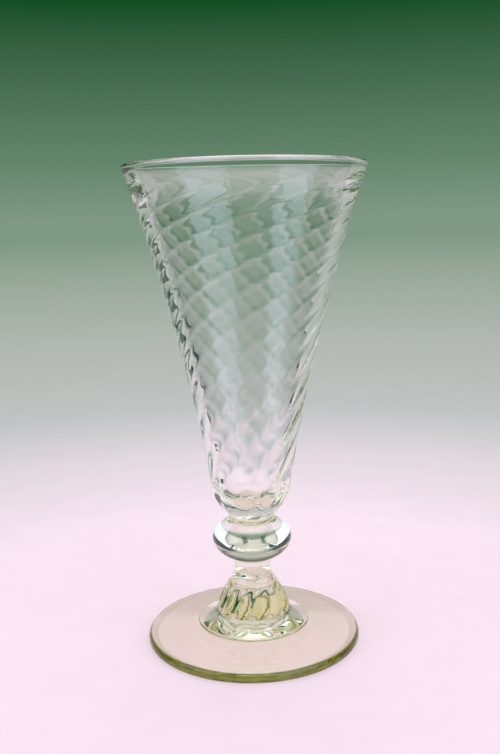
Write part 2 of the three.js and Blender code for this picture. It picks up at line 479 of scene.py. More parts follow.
@dataclass
class Effects:
    """The node groups that the glass finishes share.

    Attributes:
        tooling: Height of the tool marks.
        flaws: Masks of seeds and of cords.
        handling: Masks of haze and of fine scratches.
        RING_WANDER: Rings by which the slow waves move a tool ring.
        SEED_SIZES: Least and greatest radius of a seed, in cells.
        SEED_CORE: Share of a seed's radius at which its edge starts.
        CORD_RANGE: Noise between which a cord sets in.
        CORD_DRAW: How the noise is scaled, so that cords are drawn upwards.
        HAZE_RANGE: Noise between which haze sets in.
        SCRATCH_WIDTH: Half width of a scratch, in cells.
        SCRATCH_BEND: How far noise bends a scratch, in metres.
    """

    tooling: bpy.types.NodeTree
    flaws: bpy.types.NodeTree
    handling: bpy.types.NodeTree

    RING_WANDER = 1.7
    SEED_SIZES = (0.035, 0.085)
    SEED_CORE = 0.55
    CORD_RANGE = (0.52, 0.72)
    CORD_DRAW = (1.0, 1.0, 0.3)
    HAZE_RANGE = (0.5, 0.75)
    SCRATCH_WIDTH = 0.012
    SCRATCH_BEND = 0.004

    @classmethod
    def made(cls) -> Effects:
        """Builds the three groups."""
        return cls(cls.tooling_group(), cls.flaws_group(), cls.handling_group())

    @classmethod
    def tooling_group(cls) -> bpy.types.NodeTree:
        """Builds the height of tool marks: faint rings and slow waves.

        Formula: the waves are noise, the rings are a sine of the height over
        the ring pitch plus the waves' push, and the two are mixed.

        Returns:
            The group.
        """
        group = Group(
            "tooling",
            {
                "Position": "NodeSocketVector",
                "Ring Pitch": "NodeSocketFloat",
                "Ring Share": "NodeSocketFloat",
                "Wave Scale": "NodeSocketFloat",
            },
            ("Height",),
        )
        bench, given = group.bench, group.given
        place = {"Vector": given["Position"], "Scale": given["Wave Scale"]}
        waves = bench.node("ShaderNodeTexNoise", {**place, "Detail": 2.0, "Roughness": 0.45})
        apart = bench.node("ShaderNodeSeparateXYZ", {0: given["Position"]}).outputs
        phase = bench.math("DIVIDE", apart["Z"], given["Ring Pitch"])
        uneven = bench.math("MULTIPLY", waves.outputs[0], cls.RING_WANDER)
        turns = bench.math("MULTIPLY", bench.math("ADD", phase, uneven), math.tau)
        rings = bench.math("MULTIPLY_ADD", bench.math("SINE", turns), 0.5, 0.5)
        shares = {0: given["Ring Share"], 2: waves.outputs[0], 3: rings}
        mixed = bench.node("ShaderNodeMix", shares, data_type="FLOAT")
        group.put("Height", mixed.outputs[0])
        return group.tree

    @classmethod
    def flaws_group(cls) -> bpy.types.NodeTree:
        """Builds the masks of seeds, which are small bubbles, and of cords.

        Formula: a seed is a dot about the middle of some of a Voronoi
        pattern's cells, and a cord is where noise drawn upwards is high.

        Returns:
            The group.
        """
        group = Group(
            "flaws",
            {
                "Position": "NodeSocketVector",
                "Seed Scale": "NodeSocketFloat",
                "Seed Share": "NodeSocketFloat",
                "Cord Scale": "NodeSocketFloat",
            },
            ("Seeds", "Cords"),
        )
        bench, given = group.bench, group.given
        cells = bench.node(
            "ShaderNodeTexVoronoi",
            {"Vector": given["Position"], "Scale": given["Seed Scale"], "Randomness": 1.0},
        ).outputs
        draw = bench.node("ShaderNodeSeparateColor", {0: cells["Color"]}).outputs
        size = bench.ramp(draw[1], 0.0, 1.0, *cls.SEED_SIZES)
        dot = bench.math("DIVIDE", cells["Distance"], size)
        kept = bench.math("LESS_THAN", draw[0], given["Seed Share"])
        round_dot = bench.ramp(dot, cls.SEED_CORE, 1.0, 1.0, 0.0)
        group.put("Seeds", bench.math("MULTIPLY", round_dot, kept))
        drawn = bench.node(
            "ShaderNodeVectorMath",
            {0: given["Position"], 1: cls.CORD_DRAW},
            operation="MULTIPLY",
        ).outputs[0]
        cords = bench.node(
            "ShaderNodeTexNoise",
            {"Vector": drawn, "Scale": given["Cord Scale"], "Detail": 3.0, "Distortion": 0.8},
        )
        group.put("Cords", bench.ramp(cords.outputs[0], *cls.CORD_RANGE))
        return group.tree

    @classmethod
    def handling_group(cls) -> bpy.types.NodeTree:
        """Builds the masks of haze from two centuries of use and of fine scratches.

        Formula: haze is where noise is high, and a scratch is the edge between
        two cells of a Voronoi pattern that the noise bends.

        Returns:
            The group.
        """
        group = Group(
            "handling",
            {
                "Position": "NodeSocketVector",
                "Haze Scale": "NodeSocketFloat",
                "Scratch Scale": "NodeSocketFloat",
            },
            ("Haze", "Scratches"),
        )
        bench, given = group.bench, group.given
        haze = bench.node(
            "ShaderNodeTexNoise",
            {"Vector": given["Position"], "Scale": given["Haze Scale"], "Detail": 4.0},
        )
        group.put("Haze", bench.ramp(haze.outputs[0], *cls.HAZE_RANGE))
        bent = bench.node(
            "ShaderNodeVectorMath",
            {0: haze.outputs["Color"], 1: (cls.SCRATCH_BEND,) * 3, 2: given["Position"]},
            operation="MULTIPLY_ADD",
        ).outputs[0]
        lines = bench.node(
            "ShaderNodeTexVoronoi",
            {"Vector": bent, "Scale": given["Scratch Scale"]},
            feature="DISTANCE_TO_EDGE",
        )
        scratch = bench.ramp(lines.outputs["Distance"], 0.0, cls.SCRATCH_WIDTH, 1.0, 0.0)
        group.put("Scratches", scratch)
        return group.tree


@dataclass(frozen=True)
class Finish(ABC):
    """Old lead-free glass: its surface varies, and olive depths lie under it.

    Attributes:
        name: The material's name.
        effects: The shared node groups.
        tint: Colour of the glass's surface.
        ior: How strongly it bends light.
        absorbed: What is left of white light in the volume's colour.
        density: How much of the rest it takes, per metre.
    """

    name: str
    effects: Effects
    tint: Colour = (0.985, 0.99, 0.985)
    ior: float = 1.53
    absorbed: Colour = (0.7, 0.76, 0.4)
    density: float = 16.0

    @abstractmethod
    def looks(self, bench: Bench) -> tuple[Socket, Socket, Socket]:
        """Works out the surface's looks.

        Args:
            bench: Where the nodes go.

        Returns:
            Its colour, its roughness and the height of its relief in metres.
        """

    def build(self) -> bpy.types.Material:
        """Builds the material. Light crosses it unbent where two gathers melted together.

        Returns:
            The material.
        """
        material = bpy.data.materials.new(self.name)
        material.use_nodes = True
        material.node_tree.nodes.clear()
        bench = Bench(material.node_tree)
        colour, roughness, height = self.looks(bench)
        relief = bench.node("ShaderNodeBump", {"Height": height, "Distance": 1.0})
        glass = bench.node(
            "ShaderNodeBsdfPrincipled",
            {
                "Base Color": colour,
                "Roughness": roughness,
                "Normal": relief.outputs[0],
                "Alpha": bench.math("SUBTRACT", 1.0, bench.attribute("fused")),
                "IOR": self.ior,
                "Transmission Weight": 1.0,
            },
        )
        volume = bench.node(
            "ShaderNodeVolumeAbsorption",
            {"Color": (*self.absorbed, 1.0), "Density": self.density},
        )
        output = bench.node("ShaderNodeOutputMaterial")
        bench.tree.links.new(glass.outputs[0], output.inputs["Surface"])
        bench.tree.links.new(volume.outputs[0], output.inputs["Volume"])
        return material

    def grain(self, bench: Bench, scale: float, roughness: float) -> tuple[Socket, Socket, Socket]:
        """Works out ground or broken glass: grains, scratches and grime.

        Formula: grime lies in patches eight grains wide, and scratches are four
        grains apart. The roughness is the mean one, plus 0.3 times what the
        grain's noise has over a half, plus 0.2 where it is scratched.

        Args:
            bench: Where the nodes go.
            scale: Grains per metre.
            roughness: Its mean roughness.

        Returns:
            The share of grime, the roughness and the grain.
        """
        place = bench.place()
        handling = bench.node("ShaderNodeGroup", node_tree=self.effects.handling)
        bench.tree.links.new(place, handling.inputs["Position"])
        handling.inputs["Haze Scale"].default_value = scale / 8.0
        handling.inputs["Scratch Scale"].default_value = scale / 4.0
        grain = bench.node(
            "ShaderNodeTexNoise", {"Vector": place, "Scale": scale, "Detail": 5.0}
        ).outputs[0]
        ground = bench.math("MULTIPLY_ADD", grain, 0.3, roughness - 0.15)
        scratched = bench.math("MULTIPLY_ADD", handling.outputs["Scratches"], 0.2, ground)
        return handling.outputs["Haze"], scratched, grain


@dataclass(frozen=True)
class GlassFinish(Finish):
    """Fire-polished glass that is clear where thin and olive where thick.

    Attributes:
        cord_tint: Its colour where a cord of other glass runs.
        mark_depth: Depth of its tool marks, in metres.
        ring_pitch: Height from one tool ring to the next, in metres.
        ring_share: Share of the marks that are rings.
        wave_scale: Slow waves per metre.
        seed_scale: Cells for seeds per metre.
        seed_share: Share of these cells that hold a seed.
        seed_depth: Height of a seed's bump, in metres.
        haze: Roughness that haze adds.
        polish: Roughness of its polished face.
        valley_dust: Haze that lies in a valley between two ribs.
        seed_roughness: Roughness that a seed adds.
        scratch_roughness: Roughness that a scratch adds.
        worn_tint: Colour where two centuries of tables have ground it.
        worn_roughness: Its roughness there.
        worn_scale: Grains per metre there.
        worn_depth: Depth of these grains, in metres.
        painted_edge_shade: Painted shade on its edge, beyond the edge's radius:
            a darker colour that camera rays alone meet, so that the thick edge
            looks dim.
        edge_radius: Where the painted shade starts, in metres from the axis.
        edge_fade: Distance over which the painted shade sets in, in metres.
    """

    cord_tint: Colour = (0.955, 0.97, 0.945)
    mark_depth: float = 0.00002
    ring_pitch: float = 0.0021
    ring_share: float = 0.25
    wave_scale: float = 130.0
    seed_scale: float = 260.0
    seed_share: float = 0.06
    seed_depth: float = 0.00012
    haze: float = 0.035
    polish: float = 0.004
    valley_dust: float = 0.4
    seed_roughness: float = 0.25
    scratch_roughness: float = 0.02
    worn_tint: Colour = (0.93, 0.92, 0.88)
    worn_roughness: float = 0.32
    worn_scale: float = 2600.0
    worn_depth: float = 0.00003
    painted_edge_shade: Colour = (0.985, 0.99, 0.985)
    edge_radius: float = 0.0306
    edge_fade: float = 0.0008

    def looks(self, bench: Bench) -> tuple[Socket, Socket, Socket]:
        """Works out tool marks, flaws and signs of handling, and wear where it is worn.

        Formula: the colour goes from the tint to the cords' and the worn one by
        their masks, and to painted shade on the edge, which camera rays alone
        meet; the roughness is the polish plus haze, seeds and scratches, or the
        ground one where it is worn; the height is the tool marks less the
        seeds, plus the grain where it is worn.

        Args:
            bench: Where the nodes go.

        Returns:
            Its colour, its roughness and the height of its relief in metres.
        """
        place = bench.place()
        marks = bench.node("ShaderNodeGroup", node_tree=self.effects.tooling)
        flaws = bench.node("ShaderNodeGroup", node_tree=self.effects.flaws)
        handling = bench.node("ShaderNodeGroup", node_tree=self.effects.handling)
        for node in (marks, flaws, handling):
            bench.tree.links.new(place, node.inputs["Position"])
        marks.inputs["Ring Pitch"].default_value = self.ring_pitch
        marks.inputs["Ring Share"].default_value = self.ring_share
        marks.inputs["Wave Scale"].default_value = self.wave_scale
        flaws.inputs["Seed Scale"].default_value = self.seed_scale
        flaws.inputs["Seed Share"].default_value = self.seed_share
        flaws.inputs["Cord Scale"].default_value = self.wave_scale
        handling.inputs["Haze Scale"].default_value = self.wave_scale / 2.0
        handling.inputs["Scratch Scale"].default_value = self.seed_scale / 2.0

        worn = bench.attribute("worn")
        _, ground, grain = self.grain(bench, self.worn_scale, self.worn_roughness)
        clear = bench.blend(flaws.outputs["Cords"], (*self.tint, 1.0), (*self.cord_tint, 1.0))
        level = bench.node(
            "ShaderNodeVectorMath", {0: place, 1: (1.0, 1.0, 0.0)}, operation="MULTIPLY"
        ).outputs[0]
        reach = bench.node("ShaderNodeVectorMath", {0: level}, operation="LENGTH").outputs["Value"]
        # Painted shade: beyond the edge's radius, camera rays alone meet a darker colour, so that
        # the foot's thick edge looks dim.
        edge = bench.ramp(reach, self.edge_radius, self.edge_radius + self.edge_fade)
        direct = bench.node("ShaderNodeLightPath").outputs["Is Camera Ray"]
        painted_edge = bench.blend(bench.math("MULTIPLY", edge, direct), clear, (*self.painted_edge_shade, 1.0))
        colour = bench.blend(worn, painted_edge, (*self.worn_tint, 1.0))
        seeds, haze, scratches = (
            flaws.outputs["Seeds"],
            handling.outputs["Haze"],
            handling.outputs["Scratches"],
        )
        dusty = bench.math("MULTIPLY_ADD", bench.attribute("valley"), self.valley_dust, haze)
        hazed = bench.math("MULTIPLY_ADD", dusty, self.haze, self.polish)
        seeded = bench.math("MULTIPLY_ADD", seeds, self.seed_roughness, hazed)
        scratched = bench.math("MULTIPLY_ADD", scratches, self.scratch_roughness, seeded)
        shares = {0: worn, 2: scratched, 3: ground}
        roughness = bench.node("ShaderNodeMix", shares, data_type="FLOAT").outputs[0]
        marked = bench.math("MULTIPLY", marks.outputs["Height"], self.mark_depth)
        raised = bench.math("MULTIPLY_ADD", seeds, -self.seed_depth, marked)
        rubbed = bench.math("MULTIPLY", bench.math("MULTIPLY", grain, self.worn_depth), worn)
        return colour, roughness, bench.math("ADD", raised, rubbed)


@dataclass(frozen=True)
class SnappedFinish(Finish):
    """Glass that the pontil rod broke.

    Attributes:
        grime: Share of each colour that grime leaves.
        roughness: Its roughness.
        grain_scale: Grains per metre.
        grain_depth: Depth of the grains, in metres.
    """

    tint: Colour = (0.93, 0.92, 0.88)
    grime: Colour = (0.8, 0.78, 0.72)
    roughness: float = 0.45
    grain_scale: float = 1400.0
    grain_depth: float = 0.00003

    def looks(self, bench: Bench) -> tuple[Socket, Socket, Socket]:
        """Works out grimy grains over the whole break.

        Args:
            bench: Where the nodes go.

        Returns:
            Its colour, its roughness and the height of its relief in metres.
        """
        grime, roughness, grain = self.grain(bench, self.grain_scale, self.roughness)
        grimy = [part * left for part, left in zip(self.tint, self.grime)]
        colour = bench.blend(grime, (*self.tint, 1.0), (*grimy, 1.0))
        return colour, roughness, bench.math("MULTIPLY", grain, self.grain_depth)


# The gathers of glass.


@dataclass
class Gather(ABC):
    """One gather of glass, which stands for one node of the frame.

    Sizes are in millimetres, and heights within a piece start at its base. A
    bow is the middle control of a curve, as shares of the way across and up.

    Attributes:
        base: Height of its lower face above the table.
        columns: How many columns its grid has.
        valley_round: How round its valleys are.
        name: The piece's name.
        node: The node that it stands for.
        slot: The record's material slot that its finish fills.
    """

    base: float
    columns: int
    valley_round: float

    name = "gather"
    node = "gather"
    slot = Slot.THICK

    @abstractmethod
    def surface(self) -> Surface:
        """Works out the closed surface."""

    def lathe(self, outline: Array, bands: dict[int, Band], lift: float) -> Surface:
        """Turns an outline about the axis, without ribs.

        Formula: each point of the outline at evenly spaced azimuths, with the
        rows of the lower face lifted.

        Args:
            outline: Points from the lower face's edge to the last ring.
            bands: Bands that aren't open glass, by number.
            lift: How far the lower face stands above its base, so that it
                doesn't lie in the face that it is fused to.

        Returns:
            The surface, with its poles level with its first and last rings.
        """
        rows = len(outline)
        turn = np.tile(np.arange(self.columns) / self.columns, (rows, 1))
        radius = np.tile(outline[:, :1], (1, self.columns))
        height = np.tile(outline[:, 1:], (1, self.columns)) + self.base
        height[outline[:, 1] <= outline[0, 1]] += lift
        kinds = [bands.get(index, Band.OPEN) for index in range(rows + 1)]
        flat = np.zeros_like(turn)
        return Surface(radius, turn, height, height[0, 0], height[-1, 0], kinds, flat)

    def build(self, finish: bpy.types.Material) -> bpy.types.Object:
        """Makes the object, dresses it and puts it in its node's place.

        Args:
            finish: Its material.

        Returns:
            The object.
        """
        mesh = self.surface().mesh(self.name)
        mesh.materials.append(finish)
        piece = bpy.data.objects.new(self.name, mesh)
        bpy.context.scene.collection.objects.link(piece)
        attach(piece, "root")
        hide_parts(self.node)
        LOG.info("%s: %d faces, for node %s", self.name, len(mesh.polygons), self.node)
        return piece


@dataclass
class Foot(Gather):
    """The round foot: a little conical on top, hollow underneath.

    Attributes:
        radius: Its radius at the widest line.
        edge_height: Height of the edge's top.
        edge_round: How far the edge's rounding reaches inwards.
        widest_share: Share of the edge's height at which it is widest.
        hollow_height: Height of the hollow underneath.
        hollow_bow: Bow of the hollow.
        crown_height: Height of the slope's top.
        slope_bow: Bow of the slope.
        ring_width: Width of the worn ring that it stands on.
        seat_radius: Where the hollow levels off.
        boss_radius: Radius of the boss that stands on it.
        fused_radius: Radius of the last ring under the boss.
        mark_depth: Depth of the tool's rings on the slope.
        mark_pitch: Distance from one of these rings to the next.
        mark_fade: Distance from the edge over which they set in.
        unevenness: How the slope wanders up and down.
        uneven_from: Distances from the axis between which it sets in.
        uneven_above: Height below which nothing wanders.
    """

    base: float = 0.0
    columns: int = 360
    valley_round: float = 0.0
    radius: float = 31.75
    edge_height: float = 2.95
    edge_round: float = 1.15
    widest_share: float = 0.45
    hollow_height: float = 2.4
    hollow_bow: tuple[float, float] = (0.5, 0.6)
    crown_height: float = 5.0
    slope_bow: tuple[float, float] = (0.5, 0.42)
    ring_width: float = 2.0
    seat_radius: float = 8.4
    boss_radius: float = 16.6
    fused_radius: float = 16.2
    mark_depth: float = 0.012
    mark_pitch: float = 2.6
    mark_fade: float = 3.0
    unevenness: Wander = Wander(0.03, ((2, 0, 0.4), (3, 0, 1.9), (5, 0, 2.7)))
    uneven_from: tuple[float, float] = (18.0, 24.0)
    uneven_above: float = 1.3

    name = "foot_disc"
    node = "foot"
    slot = Slot.FOOT

    def surface(self) -> Surface:
        """Turns the foot's outline, with faint rings from the tool on its slope.

        Formula: a bent hollow, a flat ring, two quarter ellipses for the edge
        and a bent slope; the rings are a fading sine of the radius.

        Returns:
            The closed surface.
        """
        ring_outer = self.radius - self.edge_round
        widest = self.edge_height * self.widest_share
        seat = np.array([self.seat_radius, self.hollow_height])
        ring_inner = np.array([ring_outer - self.ring_width, 0.0])
        centre = np.array([ring_outer, widest])
        slope_foot = np.array([ring_outer, self.edge_height])
        slope_top = np.array([self.boss_radius, self.crown_height])
        hollow = bend([seat, between(seat, ring_inner, *self.hollow_bow), ring_inner], 30)
        lower = arc(centre, self.edge_round, widest, 0.75, 1.0, 12)
        upper = arc(centre, self.edge_round, self.edge_height - widest, 0.0, 0.25, 12)
        bow = between(slope_foot, slope_top, *self.slope_bow)
        slope = bend([slope_foot, bow, slope_top], 48)
        fade = smoothstep(ring_outer - slope[:, 0], 0.0, self.mark_fade)
        slope[:, 1] += self.mark_depth * fade * np.sin(slope[:, 0] * math.tau / self.mark_pitch)
        scar = np.array([[PontilScar().radius, self.hollow_height]])
        fused = np.array([[self.fused_radius, self.crown_height]])
        outline = joined(scar, hollow, lower, upper, slope, fused)
        worn = 1 + len(hollow)
        bands = {0: Band.FUSED, worn: Band.WORN, len(outline): Band.FUSED}
        surface = self.lathe(outline, bands, 0.0)
        surface.radius[0] = PontilScar().edge(surface.turn[0])
        uneven = self.unevenness.at(surface.turn, surface.height)
        reached = smoothstep(surface.radius, *self.uneven_from)
        surface.height += uneven * reached * (surface.height > self.uneven_above)
        return surface


@dataclass
class PontilScar(Gather):
    """The snapped glass that the pontil rod left in the foot's hollow.

    Attributes:
        radius: Its mean radius.
        ridge: How far one wave of its broken edge stands out.
        drop: How far it hangs below the hollow.
        profile: Pairs of a share of the radius and the share of the drop there.
        wander_share: Share by which the edge's wander deepens the drop.
        chip_depth: Depth of the shell breaks.
        chip_azimuth: Azimuth across which they slant, in radians.
        chip_rate: Radians of their sine per millimetre of slant.
        chip_stretch: Share of the distance that counts as slant.
        chip_bend: How far the slant bends round the axis.
    """

    base: float = 2.4
    columns: int = 180
    valley_round: float = 0.0
    radius: float = 6.8
    ridge: float = 0.35
    drop: float = 1.32
    profile: tuple[tuple[float, float], ...] = (
        (0.0, 1.0),
        (0.3, 1.0),
        (0.52, 0.8),
        (0.78, 0.85),
        (0.93, 0.5),
        (1.0, 0.0),
    )
    wander_share: float = 0.08
    chip_depth: float = 0.12
    chip_azimuth: float = 0.7
    chip_rate: float = 1.4
    chip_stretch: float = 0.9
    chip_bend: float = 1.3

    name = "pontil_mark"
    node = "pontil_scar"
    slot = Slot.SNAPPED

    def wander(self, turn: Array) -> Array:
        """Gives how far the broken edge wanders, in ridges.

        Formula: sines of 3, 5 and 8 times the azimuth, summed.

        Args:
            turn: Share of a full turn.

        Returns:
            The wander at each azimuth.
        """
        angle = turn * math.tau
        return np.sin(3 * angle) + np.sin(5 * angle + 1) + np.sin(8 * angle + 2)

    def edge(self, turn: Array) -> Array:
        """Gives the radius of the scar's upper edge.

        Formula: the mean radius plus the ridge times the wander.

        Args:
            turn: Share of a full turn.

        Returns:
            The radius at each azimuth.
        """
        return self.radius + self.ridge * self.wander(turn)

    def surface(self) -> Surface:
        """Gives the blob: a shallow cup whose edge and face wander, with shell breaks.

        Formula: the drop of each ring is a curve of its share of the radius,
        deepened by the wander and chipped by the size of a slanting sine.

        Returns:
            The closed surface.
        """
        share = np.concatenate([np.linspace(0.04, 0.94, 40), np.linspace(0.95, 1.0, 6)])
        turn = np.tile(np.arange(self.columns) / self.columns, (len(share), 1))
        share = np.tile(share[:, None], (1, self.columns))
        radius = share * self.edge(turn)
        drop = self.drop * np.interp(share, *np.array(self.profile).T)
        angle = turn * math.tau
        slant = radius * np.cos(angle - self.chip_azimuth) * self.chip_stretch
        slant += self.chip_bend * np.sin(angle * 2)
        chip = self.chip_depth * np.abs(np.sin(slant * self.chip_rate))
        chip *= smoothstep(share, 0.1, 0.4) * (1.0 - smoothstep(share, 0.85, 1.0))
        depth = drop * (1 - self.wander_share * self.wander(turn) * share) - chip
        top = self.base - JOINT_GAP
        height = top - np.maximum(depth, 0.0)
        bands = [Band.OPEN] * len(share) + [Band.FUSED]
        low = float(height[0].mean())
        return Surface(radius, turn, height, low, top, bands, np.zeros_like(turn))


@dataclass
class Pedestal(Gather):
    """The ribbed cone that flares into a thin round boss on the foot.

    Attributes:
        boss_radius: Radius of the boss.
        boss_height: Height of the boss.
        boss_round: How far its edge's rounding reaches inwards.
        boss_bow: Bow of the curve from the drum down to the boss.
        tall: Height from the foot to the stem.
        drum_radius: Radius of the drum from which the cone rises.
        drum_height: Height of the drum's line.
        shoulder_bow: Bow of the cone's curve near the drum.
        waist_bow: Bow of the cone's curve near the neck.
        neck_radius: Radius at the stem.
        rib_depth: Depth of the valleys between its ribs.
        rib_start: Shares of the height between which the ribs set in.
        rib_end: Shares of the height between which they die away.
        twist_turns: Turns that the ribs make from the foot to the stem.
        looseness: How the ribs wander sideways.
    """

    base: float = 5.0
    columns: int = 480
    valley_round: float = 0.18
    boss_radius: float = 16.6
    boss_height: float = 0.85
    boss_round: float = 0.4
    boss_bow: tuple[float, float] = (0.09, 0.34)
    tall: float = 16.0
    drum_radius: float = 10.9
    drum_height: float = 3.9
    shoulder_bow: tuple[float, float] = (0.053, 0.388)
    waist_bow: tuple[float, float] = (0.832, 0.769)
    neck_radius: float = 5.25
    rib_depth: float = 0.6
    rib_start: tuple[float, float] = (0.2, 0.33)
    rib_end: tuple[float, float] = (0.62, 0.76)
    twist_turns: float = 0.1
    looseness: Wander = Wander(0.0035, ((3, 0.02, 0.3), (5, -0.03, 1.1), (2, 0.05, 2.0)))

    name = "pedestal_cone"
    node = "pedestal"
    slot = Slot.THICK

    def surface(self) -> Surface:
        """Turns the outline, twists it and presses the ribs in.

        Formula: the radius less the rib depth times the rib's fullness at that
        height times the depth between two ribs; the azimuth grows with height.

        Returns:
            The closed surface.
        """
        centre = np.array([self.boss_radius - self.boss_round, self.boss_height / 2])
        boss_top = np.array([centre[0], self.boss_height])
        drum = np.array([self.drum_radius, self.drum_height])
        neck = np.array([self.neck_radius, self.tall])
        shoulder = between(drum, neck, *self.shoulder_bow)
        waist = between(drum, neck, *self.waist_bow)
        boss = bend([boss_top, between(drum, boss_top, *self.boss_bow), drum], 24)
        edge = arc(centre, self.boss_round, centre[1], -0.25, 0.25, 12)
        outline = held(joined(edge, boss, bend([drum, shoulder, waist, neck], 70)))
        surface = self.lathe(outline, {0: Band.FUSED, len(outline): Band.FUSED}, JOINT_GAP)
        share = (surface.height - self.base) / self.tall
        full = smoothstep(share, *self.rib_start) * (1 - smoothstep(share, *self.rib_end))
        turn = surface.turn + self.looseness.at(surface.turn, surface.height) * full
        lobe = valley(turn, self.valley_round)
        surface.hollow = full * lobe
        surface.radius -= self.rib_depth * full * lobe
        surface.turn = surface.turn + self.twist_turns * share
        return surface


@dataclass
class Stem(Gather):
    """The short plain length between the pedestal and the knop.

    Attributes:
        tall: Its height.
        foot_radius: Radius at the pedestal.
        top_radius: Radius below the weld.
        weld_flare: How far the weld under the knop stands out.
        weld_height: Height over which it flares.
    """

    base: float = 21.0
    columns: int = 240
    valley_round: float = 0.0
    tall: float = 4.0
    foot_radius: float = 5.25
    top_radius: float = 5.45
    weld_flare: float = 0.5
    weld_height: float = 0.8

    name = "stem_length"
    node = "stem"
    slot = Slot.THICK

    def surface(self) -> Surface:
        """Turns a straight line and the bent weld flare above it.

        Formula: a Bezier curve of two points and one of three.

        Returns:
            The closed surface.
        """
        start = np.array([self.foot_radius, 0.0])
        weld = np.array([self.top_radius, self.tall - self.weld_height])
        corner = np.array([self.top_radius, self.tall])
        top = np.array([self.top_radius + self.weld_flare, self.tall])
        outline = held(joined(bend([start, weld], 16), bend([weld, corner, top], 14)))
        return self.lathe(outline, {0: Band.FUSED, len(outline): Band.FUSED}, JOINT_GAP)


@dataclass
class Knop(Gather):
    """The flattened ball, fuller below its widest line than above it.

    Attributes:
        radius: Its radius at the widest line.
        lower_height: Height of the widest line.
        upper_height: Height from there to its shelf.
        seat_radius: Radius of its lower face.
        shelf_radius: Radius of its upper face.
    """

    base: float = 25.0
    columns: int = 360
    valley_round: float = 0.0
    radius: float = 11.75
    lower_height: float = 6.3
    upper_height: float = 5.1
    seat_radius: float = 5.95
    shelf_radius: float = 7.4

    name = "knop_ball"
    node = "knop"
    slot = Slot.THICK

    def surface(self) -> Surface:
        """Turns two parts of ellipses that meet at the widest line.

        Formula: each part ends where its cosine is the end's share of the
        radius, and is as tall there as its height.

        Returns:
            The closed surface.
        """
        lower = math.acos(self.seat_radius / self.radius) / math.tau
        upper = math.acos(self.shelf_radius / self.radius) / math.tau
        lower_reach = self.lower_height / math.sin(lower * math.tau)
        upper_reach = self.upper_height / math.sin(upper * math.tau)
        centre = np.array([0.0, self.lower_height])
        below = arc(centre, self.radius, lower_reach, -lower, 0.0, 44)
        above = arc(centre, self.radius, upper_reach, 0.0, upper, 40)
        outline = held(joined(below, above))
        return self.lathe(outline, {0: Band.FUSED, len(outline): Band.FUSED}, JOINT_GAP)


@dataclass
class Collar(Gather):
    """The thin disc between the knop and the bowl.

    Attributes:
        radius: Its radius.
        tall: Its height.
        rounding: How far its edge's rounding reaches inwards.
    """

    base: float = 36.4
    columns: int = 240
    valley_round: float = 0.0
    radius: float = 6.9
    tall: float = 1.8
    rounding: float = 0.2

    name = "collar_disc"
    node = "collar"
    slot = Slot.THICK

    def surface(self) -> Surface:
        """Turns half an ellipse that stands on its lower edge.

        Formula: the ellipse is as tall as the disc and twice the rounding wide.

        Returns:
            The closed surface.
        """
        centre = np.array([self.radius - self.rounding, self.tall / 2])
        outline = held(arc(centre, self.rounding, centre[1], -0.25, 0.25, 16))
        return self.lathe(outline, {0: Band.FUSED, len(outline): Band.FUSED}, JOINT_GAP)


